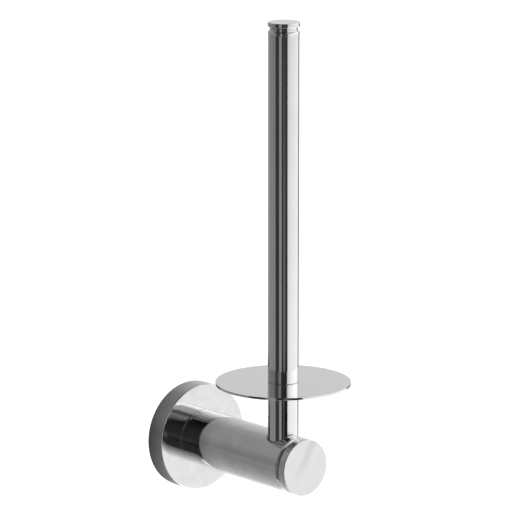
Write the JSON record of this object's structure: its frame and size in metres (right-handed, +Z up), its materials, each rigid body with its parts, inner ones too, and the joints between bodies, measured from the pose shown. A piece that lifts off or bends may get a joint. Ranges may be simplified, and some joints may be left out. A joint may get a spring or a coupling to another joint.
{
  "type": "toilet roll storage holder",
  "caption": "Wall-mounted upright post with a round tray and a round rose, which stores spare toilet rolls stacked on the post.",
  "frame": {"origin": "centre of the round rose's back, on the wall plane, on the arm's axis", "axes": "+Z up, along the post; -Y out of the wall, along the arm; +X to the right for a person facing the wall"},
  "size_m": [0.08, 0.1263, 0.2953],
  "materials": {
    "polished_steel": "polished, with a fine grain from polishing",
    "cast_bracket": "plain, dull plated",
    "turned_steel": "turned",
    "screw_steel": "plain stainless"
  },
  "bodies": {
    "wall_bracket": {"wall_bracket": "cast_bracket"},
    "holder": {"rose": "polished_steel", "arm_tube": "polished_steel", "arm_rear_plug": "turned_steel", "arm_locating_pin": "turned_steel", "arm_lock_washer": "screw_steel", "arm_fixing_screw": "screw_steel", "arm_front_block": "turned_steel", "arm_end_cap": "polished_steel", "post_stub": "polished_steel", "post_stud": "screw_steel", "roll_tray": "polished_steel", "post_foot_plug": "turned_steel", "post_tube": "polished_steel", "post_cap": "polished_steel"},
    "set_screw": {"set_screw": "screw_steel"}
  },
  "joints": [
    {"name": "holder_pull_off", "type": "slide", "parent": "wall_bracket", "child": "holder", "axis": [0, -1, 0], "range_m": [0, 0.025]},
    {"name": "set_screw_travel", "type": "slide", "parent": "holder", "child": "set_screw", "axis": [0, 0, -1], "range_m": [0, 0.002]}
  ]
}
